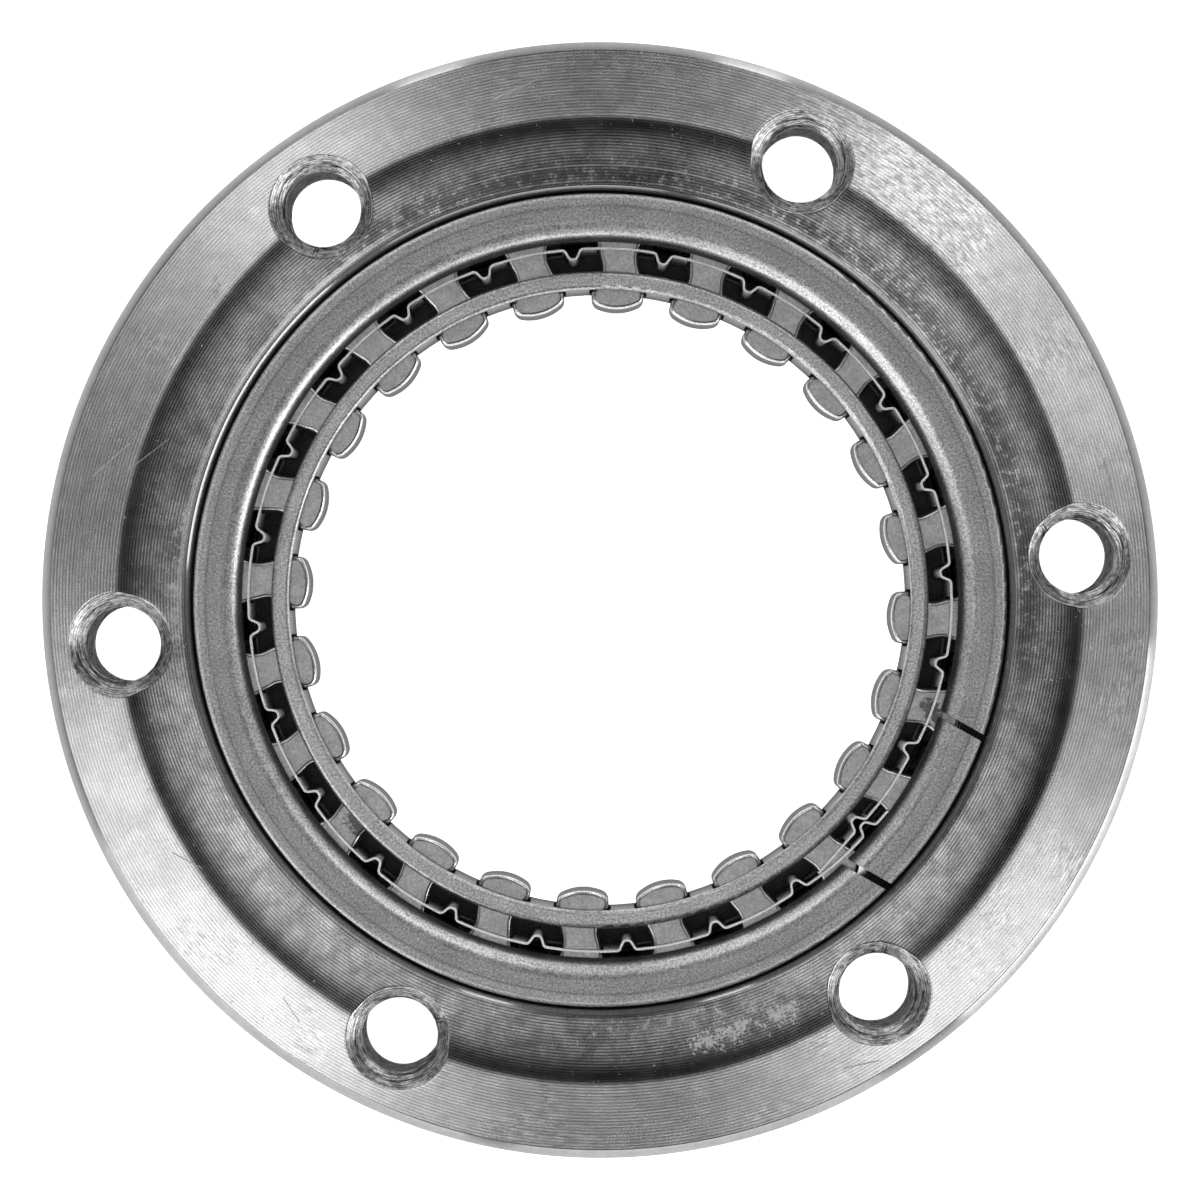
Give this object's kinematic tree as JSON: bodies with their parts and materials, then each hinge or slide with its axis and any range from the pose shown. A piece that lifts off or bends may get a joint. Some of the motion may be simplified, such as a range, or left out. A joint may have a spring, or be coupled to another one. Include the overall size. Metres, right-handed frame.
{
  "type": "sprag clutch",
  "caption": "Sprag one-way clutch: outer race ring with tapped holes, outer and inner cage, ribbon spring and a full ring of sprags around an open bore.",
  "frame": {"origin": "on the clutch axis, in the plane of the ring's back face", "axes": "+Z along the axis, out of the flanged front; +X to the right and +Y up as seen from the front"},
  "size_m": [0.1, 0.1, 0.015],
  "materials": {
    "turned_steel": "fine turned, bare",
    "cage_steel": "tumbled, satin",
    "inner_cage_steel": "tumbled, satin",
    "spring_steel": "bright rolled strip",
    "sprag_steel": "tumbled, satin"
  },
  "bodies": {
    "outer_race": {"outer_race": "turned_steel"},
    "outer_cage": {"outer_cage": "cage_steel"},
    "inner_cage": {"inner_cage": "inner_cage_steel"},
    "ribbon_spring": {"ribbon_spring": "spring_steel"},
    "sprag_01": {"sprag_01": "sprag_steel"},
    "sprag_02": {"sprag_02": "sprag_steel"},
    "sprag_03": {"sprag_03": "sprag_steel"},
    "sprag_04": {"sprag_04": "sprag_steel"},
    "sprag_05": {"sprag_05": "sprag_steel"},
    "sprag_06": {"sprag_06": "sprag_steel"},
    "sprag_07": {"sprag_07": "sprag_steel"},
    "sprag_08": {"sprag_08": "sprag_steel"},
    "sprag_09": {"sprag_09": "sprag_steel"},
    "sprag_10": {"sprag_10": "sprag_steel"},
    "sprag_11": {"sprag_11": "sprag_steel"},
    "sprag_12": {"sprag_12": "sprag_steel"},
    "sprag_13": {"sprag_13": "sprag_steel"},
    "sprag_14": {"sprag_14": "sprag_steel"},
    "sprag_15": {"sprag_15": "sprag_steel"},
    "sprag_16": {"sprag_16": "sprag_steel"},
    "sprag_17": {"sprag_17": "sprag_steel"},
    "sprag_18": {"sprag_18": "sprag_steel"},
    "sprag_19": {"sprag_19": "sprag_steel"},
    "sprag_20": {"sprag_20": "sprag_steel"},
    "sprag_21": {"sprag_21": "sprag_steel"},
    "sprag_22": {"sprag_22": "sprag_steel"},
    "sprag_23": {"sprag_23": "sprag_steel"},
    "sprag_24": {"sprag_24": "sprag_steel"}
  },
  "joints": [
    {"name": "cage_turn", "type": "hinge", "parent": "outer_race", "child": "outer_cage", "pos_m": [0, 0, 0.0079], "axis": [0, 0, 1], "continuous": true},
    {"name": "sprag_01_tilt", "type": "hinge", "parent": "outer_cage", "child": "sprag_01", "pos_m": [0.02994, 0.00544, 0.0079], "axis": [0, 0, -1], "range_deg": [0, 12], "stiffness_Nm_per_rad": 0.02, "springref_deg": -22.92},
    {"name": "sprag_02_tilt", "type": "hinge", "parent": "outer_cage", "child": "sprag_02", "pos_m": [0.02751, 0.01301, 0.0079], "axis": [0, 0, -1], "range_deg": [0, 12]},
    {"name": "sprag_03_tilt", "type": "hinge", "parent": "outer_cage", "child": "sprag_03", "pos_m": [0.02321, 0.01969, 0.0079], "axis": [0, 0, -1], "range_deg": [0, 12]},
    {"name": "sprag_04_tilt", "type": "hinge", "parent": "outer_cage", "child": "sprag_04", "pos_m": [0.01732, 0.02502, 0.0079], "axis": [0, 0, -1], "range_deg": [0, 12]},
    {"name": "sprag_05_tilt", "type": "hinge", "parent": "outer_cage", "child": "sprag_05", "pos_m": [0.01026, 0.02865, 0.0079], "axis": [0, 0, -1], "range_deg": [0, 12]},
    {"name": "sprag_06_tilt", "type": "hinge", "parent": "outer_cage", "child": "sprag_06", "pos_m": [0.00249, 0.03033, 0.0079], "axis": [0, 0, -1], "range_deg": [0, 12]},
    {"name": "sprag_07_tilt", "type": "hinge", "parent": "outer_cage", "child": "sprag_07", "pos_m": [-0.00544, 0.02994, 0.0079], "axis": [0, 0, -1], "range_deg": [0, 12]},
    {"name": "sprag_08_tilt", "type": "hinge", "parent": "outer_cage", "child": "sprag_08", "pos_m": [-0.01301, 0.02751, 0.0079], "axis": [0, 0, -1], "range_deg": [0, 12]},
    {"name": "sprag_09_tilt", "type": "hinge", "parent": "outer_cage", "child": "sprag_09", "pos_m": [-0.01969, 0.02321, 0.0079], "axis": [0, 0, -1], "range_deg": [0, 12]},
    {"name": "sprag_10_tilt", "type": "hinge", "parent": "outer_cage", "child": "sprag_10", "pos_m": [-0.02502, 0.01732, 0.0079], "axis": [0, 0, -1], "range_deg": [0, 12]},
    {"name": "sprag_11_tilt", "type": "hinge", "parent": "outer_cage", "child": "sprag_11", "pos_m": [-0.02865, 0.01026, 0.0079], "axis": [0, 0, -1], "range_deg": [0, 12]},
    {"name": "sprag_12_tilt", "type": "hinge", "parent": "outer_cage", "child": "sprag_12", "pos_m": [-0.03033, 0.00249, 0.0079], "axis": [0, 0, -1], "range_deg": [0, 12]},
    {"name": "sprag_13_tilt", "type": "hinge", "parent": "outer_cage", "child": "sprag_13", "pos_m": [-0.02994, -0.00544, 0.0079], "axis": [0, 0, -1], "range_deg": [0, 12]},
    {"name": "sprag_14_tilt", "type": "hinge", "parent": "outer_cage", "child": "sprag_14", "pos_m": [-0.02751, -0.01301, 0.0079], "axis": [0, 0, -1], "range_deg": [0, 12]},
    {"name": "sprag_15_tilt", "type": "hinge", "parent": "outer_cage", "child": "sprag_15", "pos_m": [-0.02321, -0.01969, 0.0079], "axis": [0, 0, -1], "range_deg": [0, 12]},
    {"name": "sprag_16_tilt", "type": "hinge", "parent": "outer_cage", "child": "sprag_16", "pos_m": [-0.01732, -0.02502, 0.0079], "axis": [0, 0, -1], "range_deg": [0, 12]},
    {"name": "sprag_17_tilt", "type": "hinge", "parent": "outer_cage", "child": "sprag_17", "pos_m": [-0.01026, -0.02865, 0.0079], "axis": [0, 0, -1], "range_deg": [0, 12]},
    {"name": "sprag_18_tilt", "type": "hinge", "parent": "outer_cage", "child": "sprag_18", "pos_m": [-0.00249, -0.03033, 0.0079], "axis": [0, 0, -1], "range_deg": [0, 12]},
    {"name": "sprag_19_tilt", "type": "hinge", "parent": "outer_cage", "child": "sprag_19", "pos_m": [0.00544, -0.02994, 0.0079], "axis": [0, 0, -1], "range_deg": [0, 12]},
    {"name": "sprag_20_tilt", "type": "hinge", "parent": "outer_cage", "child": "sprag_20", "pos_m": [0.01301, -0.02751, 0.0079], "axis": [0, 0, -1], "range_deg": [0, 12]},
    {"name": "sprag_21_tilt", "type": "hinge", "parent": "outer_cage", "child": "sprag_21", "pos_m": [0.01969, -0.02321, 0.0079], "axis": [0, 0, -1], "range_deg": [0, 12]},
    {"name": "sprag_22_tilt", "type": "hinge", "parent": "outer_cage", "child": "sprag_22", "pos_m": [0.02502, -0.01732, 0.0079], "axis": [0, 0, -1], "range_deg": [0, 12]},
    {"name": "sprag_23_tilt", "type": "hinge", "parent": "outer_cage", "child": "sprag_23", "pos_m": [0.02865, -0.01026, 0.0079], "axis": [0, 0, -1], "range_deg": [0, 12]},
    {"name": "sprag_24_tilt", "type": "hinge", "parent": "outer_cage", "child": "sprag_24", "pos_m": [0.03033, -0.00249, 0.0079], "axis": [0, 0, -1], "range_deg": [0, 12]},
    {"name": "inner_cage_turn", "type": "hinge", "parent": "outer_cage", "child": "inner_cage", "pos_m": [0, 0, 0.0079], "axis": [0, 0, 1], "range_deg": [0, 0.9]},
    {"name": "spring_shift", "type": "hinge", "parent": "outer_cage", "child": "ribbon_spring", "pos_m": [0, 0, 0.0079], "axis": [0, 0, 1], "range_deg": [-0.37, 0]}
  ],
  "couplings": [
    {"joint": "sprag_02_tilt", "follows": "sprag_01_tilt", "ratio": 1},
    {"joint": "sprag_03_tilt", "follows": "sprag_01_tilt", "ratio": 1},
    {"joint": "sprag_04_tilt", "follows": "sprag_01_tilt", "ratio": 1},
    {"joint": "sprag_05_tilt", "follows": "sprag_01_tilt", "ratio": 1},
    {"joint": "sprag_06_tilt", "follows": "sprag_01_tilt", "ratio": 1},
    {"joint": "sprag_07_tilt", "follows": "sprag_01_tilt", "ratio": 1},
    {"joint": "sprag_08_tilt", "follows": "sprag_01_tilt", "ratio": 1},
    {"joint": "sprag_09_tilt", "follows": "sprag_01_tilt", "ratio": 1},
    {"joint": "sprag_10_tilt", "follows": "sprag_01_tilt", "ratio": 1},
    {"joint": "sprag_11_tilt", "follows": "sprag_01_tilt", "ratio": 1},
    {"joint": "sprag_12_tilt", "follows": "sprag_01_tilt", "ratio": 1},
    {"joint": "sprag_13_tilt", "follows": "sprag_01_tilt", "ratio": 1},
    {"joint": "sprag_14_tilt", "follows": "sprag_01_tilt", "ratio": 1},
    {"joint": "sprag_15_tilt", "follows": "sprag_01_tilt", "ratio": 1},
    {"joint": "sprag_16_tilt", "follows": "sprag_01_tilt", "ratio": 1},
    {"joint": "sprag_17_tilt", "follows": "sprag_01_tilt", "ratio": 1},
    {"joint": "sprag_18_tilt", "follows": "sprag_01_tilt", "ratio": 1},
    {"joint": "sprag_19_tilt", "follows": "sprag_01_tilt", "ratio": 1},
    {"joint": "sprag_20_tilt", "follows": "sprag_01_tilt", "ratio": 1},
    {"joint": "sprag_21_tilt", "follows": "sprag_01_tilt", "ratio": 1},
    {"joint": "sprag_22_tilt", "follows": "sprag_01_tilt", "ratio": 1},
    {"joint": "sprag_23_tilt", "follows": "sprag_01_tilt", "ratio": 1},
    {"joint": "sprag_24_tilt", "follows": "sprag_01_tilt", "ratio": 1},
    {"joint": "inner_cage_turn", "follows": "sprag_01_tilt", "ratio": 0.07437},
    {"joint": "spring_shift", "follows": "sprag_01_tilt", "ratio": -0.02976}
  ]
}
